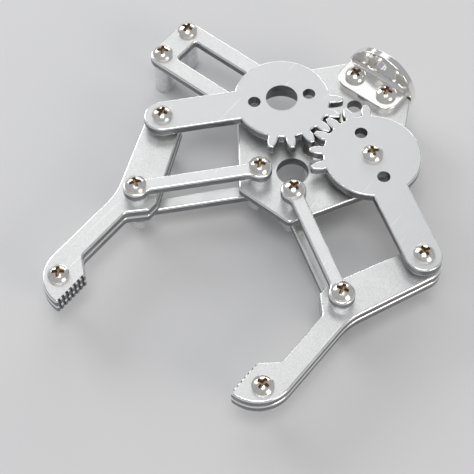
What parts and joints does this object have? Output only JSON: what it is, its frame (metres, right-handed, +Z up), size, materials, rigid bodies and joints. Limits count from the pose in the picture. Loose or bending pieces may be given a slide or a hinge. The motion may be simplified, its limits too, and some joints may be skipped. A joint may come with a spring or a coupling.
{
  "type": "robot gripper",
  "caption": "Flat-plate robot arm gripper: meshed sector gears swing parallelogram fingers with toothed tips, over a servo frame and a flanged wrist bracket.",
  "frame": {"origin": "centre of the wrist flange's outer face", "axes": "+X forward from the wrist to the finger tips, +Y to the gripper's own left, +Z up through the plates towards the screw heads"},
  "size_m": [0.1028, 0.0971, 0.022],
  "materials": {
    "satin_aluminium": "bead-blasted satin with tumbled bright edges",
    "polished_bracket": "polished",
    "spacer_aluminium": "turned, semi-bright",
    "nickel_screw": "nickel plated",
    "zinc_nut": "zinc plated"
  },
  "bodies": {
    "base": {"base_plate": "satin_aluminium", "wrist_bracket": "polished_bracket", "bracket_screw_left": "nickel_screw", "bracket_screw_right": "nickel_screw", "bracket_nut_left": "zinc_nut", "bracket_nut_right": "zinc_nut", "servo_post_outer_front": "spacer_aluminium", "servo_post_outer_rear": "spacer_aluminium", "servo_post_inner_front": "spacer_aluminium", "servo_post_inner_rear": "spacer_aluminium", "post_screw_outer_front": "nickel_screw", "post_screw_outer_rear": "nickel_screw", "post_screw_inner_front": "nickel_screw", "post_screw_inner_rear": "nickel_screw", "driven_pivot_screw": "nickel_screw", "driven_pivot_spacer": "spacer_aluminium", "driven_pivot_nut": "zinc_nut"},
    "drive_arm": {"drive_gear_arm": "satin_aluminium", "right_elbow_screw": "nickel_screw", "right_elbow_washer": "spacer_aluminium", "right_elbow_lower_washer": "spacer_aluminium", "right_elbow_nut": "zinc_nut"},
    "driven_arm": {"driven_gear_arm": "satin_aluminium", "left_elbow_screw": "nickel_screw", "left_elbow_washer": "spacer_aluminium", "left_elbow_lower_washer": "spacer_aluminium", "left_elbow_nut": "zinc_nut"},
    "right_finger": {"right_finger_upper": "satin_aluminium", "right_finger_lower": "satin_aluminium", "right_tip_screw": "nickel_screw", "right_tip_nut": "zinc_nut"},
    "right_link": {"right_link_upper": "satin_aluminium", "right_link_lower": "satin_aluminium", "right_link_root_screw": "nickel_screw", "right_link_root_spacer": "spacer_aluminium", "right_link_root_lower_spacer": "spacer_aluminium", "right_link_root_nut": "zinc_nut", "right_link_end_screw": "nickel_screw", "right_link_end_washer": "spacer_aluminium", "right_link_end_lower_washer": "spacer_aluminium", "right_link_end_nut": "zinc_nut"},
    "left_finger": {"left_finger_upper": "satin_aluminium", "left_finger_lower": "satin_aluminium", "left_tip_screw": "nickel_screw", "left_tip_nut": "zinc_nut"},
    "left_link": {"left_link_upper": "satin_aluminium", "left_link_lower": "satin_aluminium", "left_link_root_screw": "nickel_screw", "left_link_root_spacer": "spacer_aluminium", "left_link_root_lower_spacer": "spacer_aluminium", "left_link_root_nut": "zinc_nut", "left_link_end_screw": "nickel_screw", "left_link_end_washer": "spacer_aluminium", "left_link_end_lower_washer": "spacer_aluminium", "left_link_end_nut": "zinc_nut"}
  },
  "joints": [
    {"name": "drive_gear", "type": "hinge", "parent": "base", "child": "drive_arm", "pos_m": [0.0254, -0.014, 0.00125], "axis": [0, 0, 1], "range_deg": [-18, 42]},
    {"name": "driven_gear", "type": "hinge", "parent": "base", "child": "driven_arm", "pos_m": [0.0254, 0.014, 0.00125], "axis": [0, 0, 1], "range_deg": [-42, 18]},
    {"name": "right_link_root", "type": "hinge", "parent": "base", "child": "right_link", "pos_m": [0.04555, -0.0052, 0.00125], "axis": [0, 0, 1], "range_deg": [-18, 42]},
    {"name": "left_link_root", "type": "hinge", "parent": "base", "child": "left_link", "pos_m": [0.04555, 0.0052, 0.00125], "axis": [0, 0, 1], "range_deg": [-42, 18]},
    {"name": "right_elbow", "type": "hinge", "parent": "drive_arm", "child": "right_finger", "pos_m": [0.04841, -0.03386, 0.00125], "axis": [0, 0, 1], "range_deg": [-42, 18]},
    {"name": "left_elbow", "type": "hinge", "parent": "driven_arm", "child": "left_finger", "pos_m": [0.0411, 0.04003, 0.00125], "axis": [0, 0, 1], "range_deg": [-18, 42]}
  ],
  "couplings": [
    {"joint": "driven_gear", "follows": "drive_gear", "ratio": -1},
    {"joint": "right_link_root", "follows": "drive_gear", "ratio": 1},
    {"joint": "left_link_root", "follows": "drive_gear", "ratio": -1},
    {"joint": "right_elbow", "follows": "drive_gear", "ratio": -1},
    {"joint": "left_elbow", "follows": "drive_gear", "ratio": 1}
  ]
}
